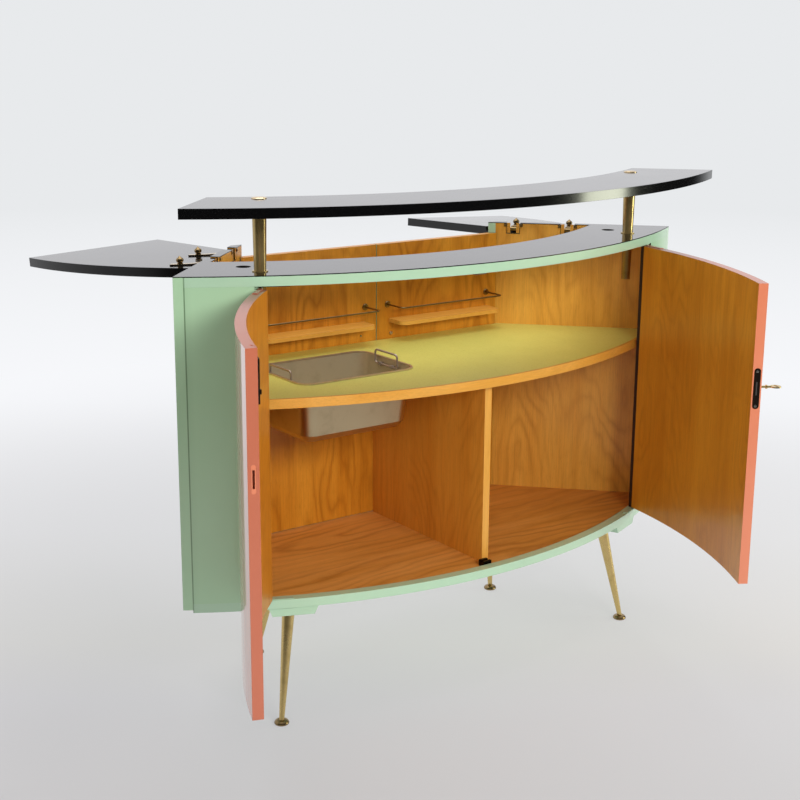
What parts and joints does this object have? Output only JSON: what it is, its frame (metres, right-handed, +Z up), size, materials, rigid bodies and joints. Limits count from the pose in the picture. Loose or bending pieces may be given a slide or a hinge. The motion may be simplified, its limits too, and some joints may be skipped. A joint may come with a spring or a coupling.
{
  "type": "curved bar cabinet with fold-out shelves",
  "caption": "Curved home bar cabinet on splayed legs: hinged front and back doors, sink shelf, raised serving shelf on posts and two fold-out counter leaves.",
  "frame": {"origin": "on the floor, at the middle plane of the cabinet, 250 mm in front of its straight back", "axes": "+X to the right seen from the guests' side, +Y towards the host, +Z up; guests stand on the -Y side"},
  "size_m": [1.5283, 1.2673, 1.1031],
  "materials": {
    "mint_lacquer": "satin lacquer",
    "coral_lacquer": "satin lacquer",
    "birch_veneer": "clear lacquered veneer",
    "beech_edging": "clear lacquered hardwood",
    "black_laminate": "gloss laminate",
    "olive_laminate": "satin laminate",
    "black_board": "gloss black lacquer",
    "brass": "polished",
    "bronzed_steel": "bronzed",
    "stainless_steel": "brushed",
    "plated_steel": "plated"
  },
  "bodies": {
    "cabinet": {"back_hinge_frames": "plated_steel", "bottom_board": "mint_lacquer", "center_divider": "birch_veneer", "counter_board": "mint_lacquer", "counter_laminate": "black_laminate", "foot_catch": "plated_steel", "front_hinge_plates": "plated_steel", "front_panel_left": "mint_lacquer", "front_panel_right": "mint_lacquer", "glides": "brass", "leaf_hinge_pins": "bronzed_steel", "leaf_hinge_saddles": "bronzed_steel", "leaf_hinge_screws": "brass", "leg_blocks": "mint_lacquer", "leg_front_left": "brass", "leg_front_right": "brass", "leg_rear_left": "brass", "leg_rear_right": "brass", "post_ferrules": "brass", "side_panel_left": "mint_lacquer", "side_panel_right": "mint_lacquer", "top_catch": "plated_steel", "work_edging": "beech_edging", "work_laminate": "olive_laminate", "work_shelf": "birch_veneer"},
    "left_door": {"front_door_left": "coral_lacquer", "front_hinge_straps_left": "plated_steel", "strike_plate": "bronzed_steel", "flush_bolt_plate": "bronzed_steel"},
    "flush_bolt": {"flush_bolt": "bronzed_steel"},
    "right_door": {"front_door_right": "coral_lacquer", "front_hinge_straps_right": "plated_steel", "lock_case": "bronzed_steel"},
    "key": {"key": "brass"},
    "lock_bolt": {"lock_bolt": "plated_steel"},
    "left_back_door": {"back_door_left": "birch_veneer", "gallery_shelf_left": "birch_veneer", "gallery_rail_left": "bronzed_steel", "gallery_rosettes_left": "bronzed_steel", "back_hinge_leaves_left": "plated_steel"},
    "right_back_door": {"back_door_right": "birch_veneer", "gallery_shelf_right": "birch_veneer", "gallery_rail_right": "bronzed_steel", "gallery_rosettes_right": "bronzed_steel", "back_hinge_leaves_right": "plated_steel", "back_door_peg": "plated_steel"},
    "left_leaf": {"leaf_left": "black_board", "leaf_arms_left": "bronzed_steel", "leaf_knobs_left": "brass"},
    "right_leaf": {"leaf_right": "black_board", "leaf_arms_right": "bronzed_steel", "leaf_knobs_right": "brass"},
    "bar_shelf": {"upper_shelf": "black_board", "post_left": "brass", "post_right": "brass", "post_flanges": "brass"},
    "sink": {"sink": "stainless_steel", "sink_lugs": "stainless_steel"},
    "sink_handle_left": {"sink_handle_left": "stainless_steel"},
    "sink_handle_right": {"sink_handle_right": "stainless_steel"}
  },
  "joints": [
    {"name": "left_door_swing", "type": "hinge", "parent": "cabinet", "child": "left_door", "pos_m": [-0.52557, -0.12664, 0.6], "axis": [0, 0, 1], "range_deg": [-9, 110.2]},
    {"name": "flush_bolt_throw", "type": "slide", "parent": "left_door", "child": "flush_bolt", "axis": [0, 0, 1], "range_m": [0, 0.012]},
    {"name": "right_door_swing", "type": "hinge", "parent": "cabinet", "child": "right_door", "pos_m": [0.52557, -0.12664, 0.6], "axis": [0, 0, -1], "range_deg": [-60, 58.2]},
    {"name": "key_turn", "type": "hinge", "parent": "right_door", "child": "key", "pos_m": [0.35124, -0.61724, 0.714], "axis": [0.8499, -0.527, 0], "range_deg": [0, 90]},
    {"name": "lock_bolt_throw", "type": "slide", "parent": "right_door", "child": "lock_bolt", "axis": [-0.527, -0.8499, 0], "range_m": [0, 0.01]},
    {"name": "left_back_door_swing", "type": "hinge", "parent": "cabinet", "child": "left_back_door", "pos_m": [-0.34961, 0.254, 0.6], "axis": [0, 0, 1], "range_deg": [0, 85]},
    {"name": "right_back_door_swing", "type": "hinge", "parent": "cabinet", "child": "right_back_door", "pos_m": [0.34961, 0.254, 0.6], "axis": [0, 0, -1], "range_deg": [0, 85]},
    {"name": "left_leaf_fold", "type": "hinge", "parent": "cabinet", "child": "left_leaf", "pos_m": [-0.457, 0.15829, 0.941], "axis": [0.7022, 0.712, 0], "range_deg": [0, 183.9]},
    {"name": "right_leaf_fold", "type": "hinge", "parent": "cabinet", "child": "right_leaf", "pos_m": [0.457, 0.15829, 0.941], "axis": [0.7022, -0.712, 0], "range_deg": [0, 183.9]},
    {"name": "bar_shelf_lift", "type": "slide", "parent": "cabinet", "child": "bar_shelf", "axis": [0, 0, 1], "range_m": [0, 0.13]},
    {"name": "sink_lift", "type": "slide", "parent": "cabinet", "child": "sink", "axis": [0, 0, 1], "range_m": [0, 0.16]},
    {"name": "sink_handle_left_fold", "type": "hinge", "parent": "sink", "child": "sink_handle_left", "pos_m": [-0.3793, 0.044, 0.692], "axis": [0, 1, 0], "range_deg": [0, 95]},
    {"name": "sink_handle_right_fold", "type": "hinge", "parent": "sink", "child": "sink_handle_right", "pos_m": [-0.1047, 0.044, 0.692], "axis": [0, -1, 0], "range_deg": [0, 95]}
  ],
  "couplings": [
    {"joint": "lock_bolt_throw", "follows": "key_turn", "m_per_rad": 0.006366}
  ]
}
